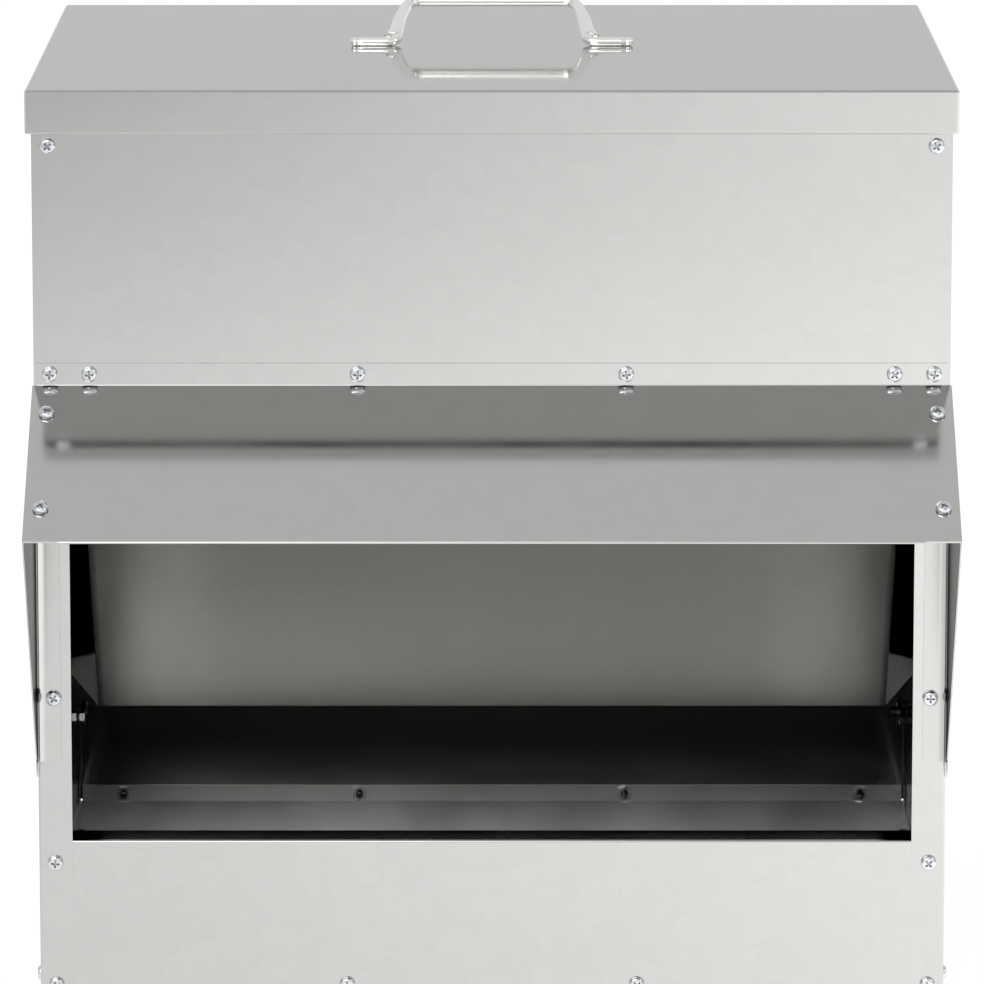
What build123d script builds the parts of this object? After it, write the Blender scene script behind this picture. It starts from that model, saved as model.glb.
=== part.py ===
from build123d import *
import os
from math import atan2, cos, degrees, hypot, radians, sin, tan

# A free-standing hopper feeder for chickens, folded from galvanised sheet and
# screwed together. The origin is the middle of the body's base, +Z is up and the
# open trough faces -Y. All sizes are in millimetres.

# Sheet and body
sheet = 0.7
body_width = 460.0
body_depth = 356.0
body_height = 469.0
post_width = 17.0
safe_edge = 8.0
sheet_gap = 0.1
bend_radius = 0.5

# Lid and its handle
lid_overhang = 3.0
lid_skirt = 22.0
lid_seat_gap = 0.3
lid_hem = 6.0
lid_edge_radius = 1.1
handle_wire = 5.4
handle_flat = 0.3
handle_span = 148.0
handle_foot = 24.5
handle_grip = 90.0
handle_reach = 37.0
handle_lean = 27.0
handle_foot_bend = 5.0
handle_grip_bend = 8.0
handle_screw_inset = 10.0
handle_screw_length = 4.0
handle_hole_depth = 3.6

# Rain hood and its cheeks
hood_bend_height = 320.7
hood_flange = 11.2
hood_flange_inset = 1.6
hood_reach = 96.0
hood_slope = 33.0
hood_hem = 9.0
cheek_flange = 12.7
cheek_top_flange = 16.0
cheek_foot_height = 119.0
cheek_relief = 8.3
cheek_edge_gap = 1.0

# Hopper front, baffle, trough, tray and back
hopper_lap = 5.7
baffle_flange_rise = 16.0
baffle_bend_height = 318.0
baffle_foot_height = 121.0
baffle_foot_depth = 162.0
baffle_wing = 22.0
baffle_wing_rise = 30.0
baffle_side_flange = 14.0
baffle_hem = 10.0
baffle_post_gap = 2.0
trough_height = 85.9
trough_lip = 23.0
trough_lip_fold = 6.0
tray_upstand = 25.0
tray_rear_upstand = 34.0
tray_ramp_lean = 24.0
back_flange = 20.0
back_flange_gap = 1.0

# Screws and nuts
screw_radius = 2.0
screw_length = 8.0
screw_head_radius = 4.0
screw_head_height = 2.9
screw_head_crown = 2.0
screw_tip_chamfer = 0.4
recess_length = 4.4
recess_width = 0.9
recess_depth = 1.3
hole_radius = 2.2
nut_width = 7.0
nut_height = 3.2
nut_bore_radius = 2.05
small_screw_radius = 1.5
small_head_radius = 2.8
small_head_height = 2.2
small_head_crown = 1.4
small_recess_length = 3.0
small_recess_width = 0.6
small_recess_depth = 0.9
small_hole_radius = 1.7

# Screw rows
corner_screw_inset = 8.2
hopper_screw_drop = 27.3
hood_flange_screw_drop = 5.6
hood_middle_screw = 67.4
hood_inner_screw_inset = 28.0
hood_slope_screws = (21.2, 90.0)
hood_slope_screw_inset = 7.4
post_screw_rise = 41.1
trough_screw_drop = 11.6
base_screw_height = 10.6
base_screw_middle = 73.7
base_side_screw_inset = 25.0
rear_base_screw_height = 29.5
rear_base_screw_inset = 25.0
rear_column_start = 75.0
rear_column_pitch = 67.0
rear_column_count = 6
rear_column_inset = 12.0
baffle_screw_runs = (50.0, 130.0, 210.0)

# Planes that the sheets share
sides = (-1, 1)
half_width = body_width / 2
side_inner = half_width - sheet
liner_inner = side_inner - sheet
front_y = -body_depth / 2
post_front_y = front_y + sheet
post_back_y = post_front_y + sheet
trough_back_y = post_back_y + sheet
back_y = body_depth / 2
back_inner_y = back_y - sheet
post_inner_x = half_width - post_width
corner_screw_x = half_width - corner_screw_inset
hopper_foot_z = hood_bend_height - hopper_lap
lid_top = body_height + lid_seat_gap + sheet


def along(start, angle, distance):
    """Return the (y, z) point a distance from start, at an angle from +Y in degrees."""
    y, z = start
    return (y + distance * cos(radians(angle)), z + distance * sin(radians(angle)))


def seat(x, y, z, outward):
    """Return the place of a screw head's seat, with local +Z pointing outward."""
    across = (0, 1, 0) if abs(outward[0]) > 0.5 else (1, 0, 0)
    return Plane(origin=(x, y, z), x_dir=across, z_dir=outward).location


def front_pair(x, y, z):
    """Return the two seats that mirror each other on a face towards the front."""
    return [seat(side * x, y, z, (0, -1, 0)) for side in sides]


def drill(places, radius=hole_radius):
    """Cut a clearance hole through the sheets at each seat, in the open part."""
    with Locations(*places):
        Cylinder(radius, 2 * screw_length, mode=Mode.SUBTRACT)


def block(low, high):
    """Add a box between two corners to the open part."""
    middle = tuple((a + b) / 2 for a, b in zip(low, high))
    with Locations(middle):
        Box(*[b - a for a, b in zip(low, high)])


def round_corners(corners, radius):
    """Round the open sketch at its corners nearest to the given points."""
    fillet([vertices().sort_by_distance(corner)[0] for corner in corners], radius)


# Hood and baffle lines in the Y-Z plane
hood_angle = 180 + hood_slope
hood_bend = (front_y - sheet, hood_bend_height)
hood_tip = along(hood_bend, hood_angle, (hood_reach - sheet) / cos(radians(hood_slope)))
hood_under_tip = along(hood_tip, hood_angle + 90, sheet)
hood_under_run = (front_y - hood_under_tip[0]) / cos(radians(hood_slope))
hood_under_bend = along(hood_under_tip, hood_slope, hood_under_run)
hood_half_width = half_width + sheet
hood_outward = (0, -sin(radians(hood_slope)), cos(radians(hood_slope)))
baffle_top = (post_front_y, baffle_bend_height)
baffle_run = baffle_foot_depth - sheet
baffle_fall = baffle_bend_height - baffle_foot_height
baffle_length = hypot(baffle_run, baffle_fall)
baffle_angle = -degrees(atan2(baffle_fall, baffle_run))

# Seats of every row of screws, each on the outermost sheet that it holds
hopper_seats = front_pair(corner_screw_x, front_y, body_height - hopper_screw_drop)
hood_screw_z = hood_bend_height + hood_flange_screw_drop
hood_corner_seats = front_pair(corner_screw_x, front_y - sheet, hood_screw_z)
hood_inner_seats = []
for inner_x in (hood_middle_screw, half_width - hood_inner_screw_inset):
    hood_inner_seats += front_pair(inner_x, front_y - sheet, hood_screw_z)
hood_slope_seats = []
for slope_run in hood_slope_screws:
    seat_y, seat_z = along(hood_bend, hood_angle, slope_run)
    for side in sides:
        seat_x = side * (half_width - hood_slope_screw_inset)
        hood_slope_seats.append(seat(seat_x, seat_y, seat_z, hood_outward))
post_seats = front_pair(corner_screw_x, front_y, cheek_foot_height + post_screw_rise)
trough_seats = front_pair(corner_screw_x, post_front_y, trough_height - trough_screw_drop)
base_corner_seats = front_pair(corner_screw_x, post_front_y, base_screw_height)
base_middle_seats = front_pair(base_screw_middle, post_back_y, base_screw_height)
base_side_seats = []
rear_base_seats = []
rear_column_seats = []
baffle_seats = []
for side in sides:
    for seat_y in (front_y + base_side_screw_inset, 0, back_y - base_side_screw_inset):
        base_side_seats.append(seat(side * half_width, seat_y, base_screw_height, (side, 0, 0)))
    for seat_x in (base_screw_middle, half_width - rear_base_screw_inset):
        rear_base_seats.append(seat(side * seat_x, back_y, rear_base_screw_height, (0, 1, 0)))
    for row in range(rear_column_count):
        seat_z = rear_column_start + row * rear_column_pitch
        column_y = back_y - rear_column_inset
        rear_column_seats.append(seat(side * half_width, column_y, seat_z, (side, 0, 0)))
    for slope_run in baffle_screw_runs:
        on_slope = along(baffle_top, baffle_angle, slope_run)
        above_slope = baffle_wing_rise + baffle_side_flange / 2
        seat_y, seat_z = along(on_slope, baffle_angle + 90, above_slope)
        baffle_seats.append(seat(side * half_width, seat_y, seat_z, (side, 0, 0)))
handle_screw_x = handle_span / 2 - handle_screw_inset
handle_seats = [seat(side * handle_screw_x, 0, lid_top - sheet, (0, 0, -1)) for side in sides]

os.makedirs("parts", exist_ok=True)

# Right side panel: a flat web, the front post folded inwards, a safe edge on top
with BuildPart() as side_panel_right:
    with BuildSketch():
        with BuildLine():
            Polyline(
                (post_inner_x, post_front_y),
                (half_width, post_front_y),
                (half_width, back_y),
                (side_inner, back_y),
                (side_inner, post_back_y),
                (post_inner_x, post_back_y),
                close=True,
            )
        make_face()
        round_corners([(half_width, post_front_y)], bend_radius + sheet)
        round_corners([(side_inner, post_back_y)], bend_radius)
    extrude(amount=body_height)
    hem_front_y = post_back_y + bend_radius
    hem_back_y = back_y - back_flange - back_flange_gap
    hem_low_z = body_height - safe_edge
    block((liner_inner, hem_front_y, hem_low_z), (side_inner, hem_back_y, body_height))
    drill(hopper_seats + hood_corner_seats + post_seats + trough_seats + base_corner_seats)
    web_seats = base_side_seats + rear_column_seats + baffle_seats
    drill([place for place in web_seats if place.position.X > 0])
side_panel_right.part.label = "side_panel_right"
export_step(side_panel_right.part, "parts/side_panel_right.step")

# Left side panel: the mirror of the right one
with BuildPart() as side_panel_left:
    mirror(side_panel_right.part, about=Plane.YZ)
side_panel_left.part.label = "side_panel_left"
export_step(side_panel_left.part, "parts/side_panel_left.step")

# Hopper front: a flat panel over both posts, with a safe edge along the rim
with BuildPart() as hopper_front_panel:
    block((-half_width, front_y, hopper_foot_z), (half_width, post_front_y, body_height))
    rim_x = post_inner_x - sheet_gap
    block((-rim_x, post_front_y, body_height - safe_edge), (rim_x, post_back_y, body_height))
    drill(hopper_seats + hood_corner_seats + hood_inner_seats)
hopper_front_panel.part.label = "hopper_front_panel"
export_step(hopper_front_panel.part, "parts/hopper_front_panel.step")

# Back panel: full height, with flanges folded forward along both side panels
with BuildPart() as back_panel:
    flange_foot_z = tray_upstand + back_flange_gap
    with BuildSketch(Plane.XY.offset(flange_foot_z)):
        with BuildLine():
            Polyline(
                (-side_inner, back_y - back_flange),
                (-side_inner, back_y),
                (side_inner, back_y),
                (side_inner, back_y - back_flange),
                (liner_inner, back_y - back_flange),
                (liner_inner, back_inner_y),
                (-liner_inner, back_inner_y),
                (-liner_inner, back_y - back_flange),
                close=True,
            )
        make_face()
        round_corners([(side * side_inner, back_y) for side in sides], bend_radius + sheet)
        round_corners([(side * liner_inner, back_inner_y) for side in sides], bend_radius)
    extrude(amount=body_height - flange_foot_z)
    foot_x = liner_inner - bend_radius
    block((-foot_x, back_inner_y, 0), (foot_x, back_y, flange_foot_z))
    block((-foot_x, back_inner_y - sheet, body_height - safe_edge), (foot_x, back_inner_y, body_height))
    drill(rear_column_seats + rear_base_seats)
back_panel.part.label = "back_panel"
export_step(back_panel.part, "parts/back_panel.step")

# Trough front: an upright sheet behind the posts with a lip folded inwards,
# which keeps the birds from raking feed out
with BuildPart() as trough_front_panel:
    trough_half_width = side_inner - bend_radius - sheet_gap
    lip_y = post_back_y + trough_lip
    with BuildSketch(Plane.YZ.offset(-trough_half_width)):
        with BuildLine():
            Polyline(
                (post_back_y, 0),
                (post_back_y, trough_height),
                (lip_y, trough_height),
                (lip_y, trough_height - trough_lip_fold),
                (lip_y - sheet, trough_height - trough_lip_fold),
                (lip_y - sheet, trough_height - sheet),
                (trough_back_y, trough_height - sheet),
                (trough_back_y, 0),
                close=True,
            )
        make_face()
        round_corners([(post_back_y, trough_height), (lip_y, trough_height)], bend_radius + sheet)
        inner_z = trough_height - sheet
        round_corners([(trough_back_y, inner_z), (lip_y - sheet, inner_z)], bend_radius)
    extrude(amount=2 * trough_half_width)
    drill(trough_seats + base_corner_seats + base_middle_seats)
trough_front_panel.part.label = "trough_front_panel"
export_step(trough_front_panel.part, "parts/trough_front_panel.step")

# Floor tray: a shallow pan whose back slopes up to an upstand on the back panel, so
# that feed slides forward
with BuildPart() as floor_tray:
    block((-side_inner, trough_back_y, 0), (side_inner, back_inner_y, tray_upstand))
    fillet(floor_tray.edges().filter_by(Axis.Z), bend_radius)
    with BuildSketch(Plane.XY.offset(sheet)):
        with Locations((0, (trough_back_y + back_inner_y) / 2)):
            Rectangle(2 * liner_inner, back_inner_y - trough_back_y - 2 * sheet)
    extrude(amount=tray_rear_upstand, mode=Mode.SUBTRACT)
    rear_x = liner_inner - bend_radius - sheet_gap
    upstand_y = back_inner_y - sheet
    block((-rear_x, upstand_y, tray_upstand - sheet), (rear_x, back_inner_y, tray_rear_upstand))
    ramp_slant = sheet / cos(radians(tray_ramp_lean))
    ramp_foot_y = upstand_y - (tray_upstand - sheet) * tan(radians(tray_ramp_lean))
    with BuildSketch(Plane.YZ.offset(-liner_inner)):
        with BuildLine():
            Polyline(
                (ramp_foot_y, sheet),
                (upstand_y, tray_upstand),
                (upstand_y + ramp_slant, tray_upstand),
                (ramp_foot_y + ramp_slant, sheet),
                close=True,
            )
        make_face()
    extrude(amount=2 * liner_inner)
    with BuildSketch(Plane.YZ.offset(-rear_x)):
        with BuildLine():
            Polyline(
                (ramp_foot_y + ramp_slant, 0),
                (ramp_foot_y + ramp_slant, sheet),
                (back_inner_y, tray_upstand - sheet - ramp_slant),
                (back_inner_y, 0),
                close=True,
            )
        make_face()
    extrude(amount=2 * rear_x, mode=Mode.SUBTRACT)
    drill(base_corner_seats + base_middle_seats + base_side_seats + rear_base_seats)
floor_tray.part.label = "floor_tray"
export_step(floor_tray.part, "parts/floor_tray.step")

# Feed baffle: a sloping chute under the hopper front. Its middle is a flat channel
# with a wing at each side, which rises to a flange on the side panel.
with BuildPart() as feed_baffle:
    channel_x = half_width - baffle_wing
    wing_angle = atan2(baffle_wing_rise, side_inner - channel_x)
    wing_inner_x = channel_x - sheet * tan(wing_angle / 2)
    wing_inner_rise = sheet + (liner_inner - wing_inner_x) * tan(wing_angle)
    flange_rise = baffle_wing_rise + baffle_side_flange
    chute = Plane(
        origin=(0, *baffle_top),
        x_dir=(-1, 0, 0),
        z_dir=(0, cos(radians(baffle_angle)), sin(radians(baffle_angle))),
    )
    with BuildSketch(chute):
        with BuildLine() as half_section:
            Polyline(
                (0, 0),
                (channel_x, 0),
                (side_inner, baffle_wing_rise),
                (side_inner, flange_rise),
                (liner_inner, flange_rise),
                (liner_inner, wing_inner_rise),
                (wing_inner_x, sheet),
                (0, sheet),
            )
            mirror(half_section.line, about=Plane.YZ)
        make_face()
    extrude(amount=baffle_length)
    hem_origin = chute.from_local_coords((0, 0, baffle_length - baffle_hem))
    hem_start = Plane(hem_origin, chute.x_dir, chute.z_dir)
    with BuildSketch(hem_start):
        with Locations((0, 1.5 * sheet)):
            Rectangle(2 * (wing_inner_x - bend_radius), sheet)
    extrude(amount=baffle_hem)
    split(bisect_by=Plane(origin=(0, post_back_y, 0), z_dir=(0, 1, 0)), keep=Keep.TOP)
    flange_x = post_inner_x - baffle_post_gap
    flange_low_z = baffle_bend_height - sheet * tan(radians(-baffle_angle))
    flange_top_z = baffle_bend_height + baffle_flange_rise
    block((-flange_x, post_front_y, flange_low_z), (flange_x, post_back_y, flange_top_z))
    drill(hood_inner_seats + baffle_seats)
feed_baffle.part.label = "feed_baffle"
export_step(feed_baffle.part, "parts/feed_baffle.step")

# Rain hood: a flange on the hopper front, a roof that slopes forward and a hem
# folded under its front edge
with BuildPart() as rain_hood:
    with BuildSketch(Plane.YZ.offset(-hood_half_width)):
        with BuildLine():
            Polyline(
                (front_y, hood_bend_height),
                (front_y - sheet, hood_bend_height + sheet),
                hood_bend,
                hood_tip,
                hood_under_tip,
                hood_under_bend,
                close=True,
            )
        make_face()
    extrude(amount=2 * hood_half_width)
    flange_half_width = half_width - hood_flange_inset
    flange_high_z = hood_bend_height + hood_flange
    flange_low = (-flange_half_width, front_y - sheet, hood_bend_height)
    block(flange_low, (flange_half_width, front_y, flange_high_z))
    hem_x = half_width - cheek_top_flange - cheek_edge_gap
    with BuildSketch(Plane.YZ.offset(-hem_x)):
        with BuildLine():
            Polyline(
                hood_under_tip,
                along(hood_under_tip, hood_slope, hood_hem),
                along(along(hood_under_tip, hood_slope, hood_hem), hood_angle + 90, sheet),
                along(hood_under_tip, hood_angle + 90, sheet),
                close=True,
            )
        make_face()
    extrude(amount=2 * hem_x)
    drill(hood_corner_seats + hood_inner_seats + hood_slope_seats)
rain_hood.part.label = "rain_hood"
export_step(rain_hood.part, "parts/rain_hood.step")

# Right hood cheek: a triangular plate with one flange on the post and one under
# the hood
with BuildPart() as hood_cheek_right:
    cheek_top_z = hopper_foot_z - cheek_edge_gap
    roof_start = along(hood_under_bend, hood_angle, cheek_edge_gap + hopper_lap)
    roof_end = along(hood_under_tip, hood_slope, cheek_edge_gap)
    with BuildSketch(Plane.YZ.offset(half_width)):
        with BuildLine():
            Polyline(
                (post_front_y, cheek_foot_height),
                (post_front_y, cheek_top_z),
                roof_start,
                roof_end,
                close=True,
            )
        make_face()
    extrude(amount=sheet)
    with BuildSketch(Plane.YZ.offset(half_width - cheek_top_flange)):
        with BuildLine():
            Polyline(
                roof_start,
                roof_end,
                along(roof_end, hood_angle + 90, sheet),
                along(roof_start, hood_angle + 90, sheet),
                close=True,
            )
        make_face()
    extrude(amount=cheek_top_flange + sheet)
    post_flange_x = hood_half_width - cheek_flange
    post_flange_z = cheek_foot_height + cheek_relief
    block((post_flange_x, front_y, post_flange_z), (hood_half_width, post_front_y, cheek_top_z))
    right_seats = [place for place in post_seats + hood_slope_seats if place.position.X > 0]
    drill(right_seats)
hood_cheek_right.part.label = "hood_cheek_right"
export_step(hood_cheek_right.part, "parts/hood_cheek_right.step")

# Left hood cheek: the mirror of the right one
with BuildPart() as hood_cheek_left:
    mirror(hood_cheek_right.part, about=Plane.YZ)
hood_cheek_left.part.label = "hood_cheek_left"
export_step(hood_cheek_left.part, "parts/hood_cheek_left.step")

# Lid: a flat pan turned upside down over the body, hemmed inside its skirt
with BuildPart() as lid_cover:
    lid_width = body_width + 2 * lid_overhang
    lid_depth = body_depth + 2 * lid_overhang
    lid_low_z = lid_top - lid_skirt
    block((-lid_width / 2, -lid_depth / 2, lid_low_z), (lid_width / 2, lid_depth / 2, lid_top))
    fillet(lid_cover.edges().filter_by(Axis.Z), lid_edge_radius)
    fillet(lid_cover.edges().group_by(Axis.Z)[-1], lid_edge_radius)
    with BuildSketch(Plane.XY.offset(lid_low_z)):
        Rectangle(lid_width - 2 * sheet, lid_depth - 2 * sheet)
    extrude(amount=lid_skirt - sheet, mode=Mode.SUBTRACT)
    with BuildSketch(Plane.XY.offset(lid_low_z)):
        Rectangle(lid_width - 2 * sheet, lid_depth - 2 * sheet)
        Rectangle(lid_width - 4 * sheet, lid_depth - 4 * sheet, mode=Mode.SUBTRACT)
    extrude(amount=lid_hem)
    drill(handle_seats, small_hole_radius)
lid_cover.part.label = "lid_cover"
export_step(lid_cover.part, "parts/lid_cover.step")

# Lid handle: one bent wire whose feet lie on the lid and whose grip leans back
with BuildPart() as lid_handle:
    wire_radius = handle_wire / 2
    foot_z = lid_top + wire_radius - handle_flat
    bow = Plane(
        origin=(0, 0, foot_z),
        x_dir=(1, 0, 0),
        z_dir=(0, -sin(radians(handle_lean)), cos(radians(handle_lean))),
    )
    tip_x = handle_span / 2 - wire_radius
    foot_x = handle_span / 2 - handle_foot
    with BuildLine(bow) as bow_line:
        FilletPolyline(
            (-tip_x, 0),
            (-foot_x, 0),
            (-handle_grip / 2, handle_reach),
            (handle_grip / 2, handle_reach),
            (foot_x, 0),
            (tip_x, 0),
            radius=[handle_foot_bend, handle_grip_bend, handle_grip_bend, handle_foot_bend],
        )
    with BuildSketch(Plane(origin=(-tip_x, 0, foot_z), z_dir=(1, 0, 0))):
        Circle(wire_radius)
    sweep(path=bow_line.wire())
    with Locations((-tip_x, 0, foot_z), (tip_x, 0, foot_z)):
        Sphere(wire_radius)
    with Locations((0, 0, lid_top)):
        Box(
            handle_span,
            4 * handle_wire,
            handle_wire,
            align=(Align.CENTER, Align.CENTER, Align.MAX),
            mode=Mode.SUBTRACT,
        )
        with Locations(*[(side * handle_screw_x, 0) for side in sides]):
            Cylinder(
                small_screw_radius,
                handle_hole_depth,
                align=(Align.CENTER, Align.CENTER, Align.MIN),
                mode=Mode.SUBTRACT,
            )
lid_handle.part.label = "lid_handle"
export_step(lid_handle.part, "parts/lid_handle.step")

# Pan head screw with a cross recess, seated on its local XY plane
with BuildPart() as pan_screw:
    Cylinder(screw_head_radius, screw_head_height, align=(Align.CENTER, Align.CENTER, Align.MIN))
    fillet(pan_screw.edges().group_by(Axis.Z)[-1], screw_head_crown)
    with BuildSketch(Plane.XY.offset(screw_head_height)):
        Rectangle(recess_length, recess_width)
        Rectangle(recess_width, recess_length)
    extrude(amount=-recess_depth, mode=Mode.SUBTRACT)
    with BuildSketch():
        Circle(screw_radius)
    extrude(amount=-screw_length)
    chamfer(pan_screw.edges().group_by(Axis.Z)[0], screw_tip_chamfer)

# The smaller screw that holds the handle from under the lid
with BuildPart() as small_screw:
    Cylinder(small_head_radius, small_head_height, align=(Align.CENTER, Align.CENTER, Align.MIN))
    fillet(small_screw.edges().group_by(Axis.Z)[-1], small_head_crown)
    with BuildSketch(Plane.XY.offset(small_head_height)):
        Rectangle(small_recess_length, small_recess_width)
        Rectangle(small_recess_width, small_recess_length)
    extrude(amount=-small_recess_depth, mode=Mode.SUBTRACT)
    with BuildSketch():
        Circle(small_screw_radius)
    extrude(amount=-handle_screw_length)

# Hexagon nut, hanging below its local XY plane
with BuildPart() as hex_nut:
    with BuildSketch():
        RegularPolygon(nut_width / 2, 6, major_radius=False)
        Circle(nut_bore_radius, mode=Mode.SUBTRACT)
    extrude(amount=-nut_height)


def fastener_group(label, fastener, places, depth=0.0):
    """Write one node that holds a copy of the fastener at each place.

    depth is how far under each place the copy sits, such as the sheets' grip.
    """
    with BuildPart() as group:
        with Locations(*[place * Location((0, 0, -depth)) for place in places]):
            add(fastener.part)
    group.part.label = label
    export_step(group.part, f"parts/{label}.step")


# Each row of screws and the nuts behind it, with the number of sheets they grip
rows = {
    "hopper_corner": (hopper_seats, 2),
    "hood_flange": (hood_corner_seats + hood_inner_seats, 3),
    "hood_slope": (hood_slope_seats, 2),
    "cheek_post": (post_seats, 2),
    "trough_corner": (trough_seats, 2),
    "base_corner": (base_corner_seats, 3),
    "base_front": (base_middle_seats, 2),
    "base_side": (base_side_seats, 2),
    "rear_base": (rear_base_seats, 2),
    "rear_column": (rear_column_seats, 2),
    "baffle_side": (baffle_seats, 2),
}
for row_name, (row_seats, sheets_held) in rows.items():
    fastener_group(f"{row_name}_screws", pan_screw, row_seats)
    fastener_group(f"{row_name}_nuts", hex_nut, row_seats, sheets_held * sheet)
fastener_group("lid_handle_screws", small_screw, handle_seats)
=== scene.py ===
"""Looks of a free-standing hopper feeder for chickens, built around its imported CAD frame.

Sizes are in millimetres, in the row frame: +Z is up, the open trough faces -Y and
the origin is the middle of the body's base. They become metres where a mesh is made.
"""

import logging
from dataclasses import dataclass, field
from enum import Enum
from math import atan2, cos, degrees, hypot, pi, radians, sin, tan

import bmesh
import bpy
from mathutils import Matrix, Vector


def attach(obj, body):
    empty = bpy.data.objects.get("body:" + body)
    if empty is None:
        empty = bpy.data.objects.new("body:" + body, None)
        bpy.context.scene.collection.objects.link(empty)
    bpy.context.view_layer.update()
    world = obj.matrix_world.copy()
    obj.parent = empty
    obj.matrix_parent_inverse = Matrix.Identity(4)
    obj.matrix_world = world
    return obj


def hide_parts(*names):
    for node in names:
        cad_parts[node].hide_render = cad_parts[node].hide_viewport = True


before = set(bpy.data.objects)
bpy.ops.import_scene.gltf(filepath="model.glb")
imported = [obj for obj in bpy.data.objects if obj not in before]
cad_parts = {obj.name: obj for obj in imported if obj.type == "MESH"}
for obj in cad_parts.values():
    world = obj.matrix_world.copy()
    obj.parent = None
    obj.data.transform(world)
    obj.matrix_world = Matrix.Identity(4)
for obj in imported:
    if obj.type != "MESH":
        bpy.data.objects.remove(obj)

log = logging.getLogger("feeder")

MM = 0.001
HOUSING = "housing"
LID = "lid"
SIDES = (-1, 1)
HANDLE_SEED = 40

Point2 = tuple[float, float]
Point3 = tuple[float, float, float]


class Slot(Enum):
    """The record's material slots."""

    SHEET = "galvanised_sheet"
    WIRE = "polished_wire"
    FASTENER = "zinc_fasteners"


# Node and colour helpers


def linear(code: str) -> tuple[float, float, float, float]:
    """Turn an sRGB hex colour into linear RGBA.

    Args:
        code: Six hex digits, with or without a leading hash.

    Returns:
        Red, green, blue and alpha, with alpha 1.
    """
    code = code.lstrip("#")
    values = [int(code[i : i + 2], 16) / 255 for i in (0, 2, 4)]
    red, green, blue = (v / 12.92 if v <= 0.04045 else ((v + 0.055) / 1.055) ** 2.4 for v in values)
    return red, green, blue, 1.0


def add_node(
    tree: bpy.types.NodeTree, kind: str, inputs: dict | None = None, **settings: object
) -> bpy.types.Node:
    """Add a node with its settings, values and links.

    Args:
        tree: The node tree that gets the node.
        kind: The node's type name.
        inputs: Input name or index, with a value or an output socket to link from.
        settings: The node's own properties.

    Returns:
        The new node.
    """
    node = tree.nodes.new(kind)
    for name, value in settings.items():
        setattr(node, name, value)
    for key, value in (inputs or {}).items():
        if isinstance(value, bpy.types.NodeSocket):
            tree.links.new(value, node.inputs[key])
        else:
            node.inputs[key].default_value = value
    return node


# Finishes


@dataclass
class Metal:
    """A metal that is being built, with short ways to add what every finish here has."""

    name: str
    material: bpy.types.Material = field(init=False)
    place: bpy.types.NodeSocket = field(init=False)

    def __post_init__(self) -> None:
        """Start an empty tree that reads Object coordinates."""
        self.material = bpy.data.materials.new(self.name)
        self.material.use_nodes = True
        self.tree.nodes.clear()
        self.place = add_node(self.tree, "ShaderNodeTexCoord").outputs["Object"]

    @property
    def tree(self) -> bpy.types.NodeTree:
        """The material's node tree."""
        return self.material.node_tree

    def noise(self, size: float, detail: float) -> bpy.types.NodeSocket:
        """Add noise whose bumps are a size in millimetres."""
        settings = {"Vector": self.place, "Scale": 1 / (size * MM), "Detail": detail}
        return add_node(self.tree, "ShaderNodeTexNoise", settings).outputs["Fac"]

    def mixed(self, share: bpy.types.NodeSocket, low: object, high: object) -> bpy.types.NodeSocket:
        """Mix two colours, each linear or a socket."""
        inputs = {0: share, 6: low, 7: high}
        return add_node(self.tree, "ShaderNodeMix", inputs, data_type="RGBA").outputs[2]

    def ranged(
        self, value: bpy.types.NodeSocket, low: float, high: float, start: float = 0.0, end: float = 1.0
    ) -> bpy.types.NodeSocket:
        """Turn a value between start and end into one between low and high."""
        inputs = {"Value": value, "From Min": start, "From Max": end, "To Min": low, "To Max": high}
        return add_node(self.tree, "ShaderNodeMapRange", inputs).outputs["Result"]

    def math(self, operation: str, first: object, second: object = 0.0) -> bpy.types.NodeSocket:
        """Combine two numbers, each a number or a socket."""
        node = add_node(self.tree, "ShaderNodeMath", {0: first, 1: second}, operation=operation)
        return node.outputs["Value"]

    def bump(
        self, height: bpy.types.NodeSocket, depth: float, under: bpy.types.NodeSocket | None = None
    ) -> bpy.types.NodeSocket:
        """Add relief.

        Args:
            height: What it rises with.
            depth: How deep it is, in millimetres.
            under: The normal that it lies on.

        Returns:
            The new normal.
        """
        inputs = {"Height": height, "Distance": depth * MM, "Strength": 1.0}
        if under is not None:
            inputs["Normal"] = under
        return add_node(self.tree, "ShaderNodeBump", inputs).outputs["Normal"]

    def finish(
        self, colour: object, gloss: bpy.types.NodeSocket, relief: bpy.types.NodeSocket, **more: object
    ) -> bpy.types.Material:
        """Close the tree with one metal shader.

        Args:
            colour: The metal's colour, linear or a socket.
            gloss: Its roughness.
            relief: Its normal.
            more: Further inputs of the shader, with underscores for spaces.

        Returns:
            The material.
        """
        inputs = {"Base Color": colour, "Metallic": 1.0, "Roughness": gloss, "Normal": relief}
        inputs |= {key.replace("_", " "): value for key, value in more.items()}
        shader = add_node(self.tree, "ShaderNodeBsdfPrincipled", inputs)
        add_node(self.tree, "ShaderNodeOutputMaterial", {"Surface": shader.outputs["BSDF"]})
        return self.material


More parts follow.
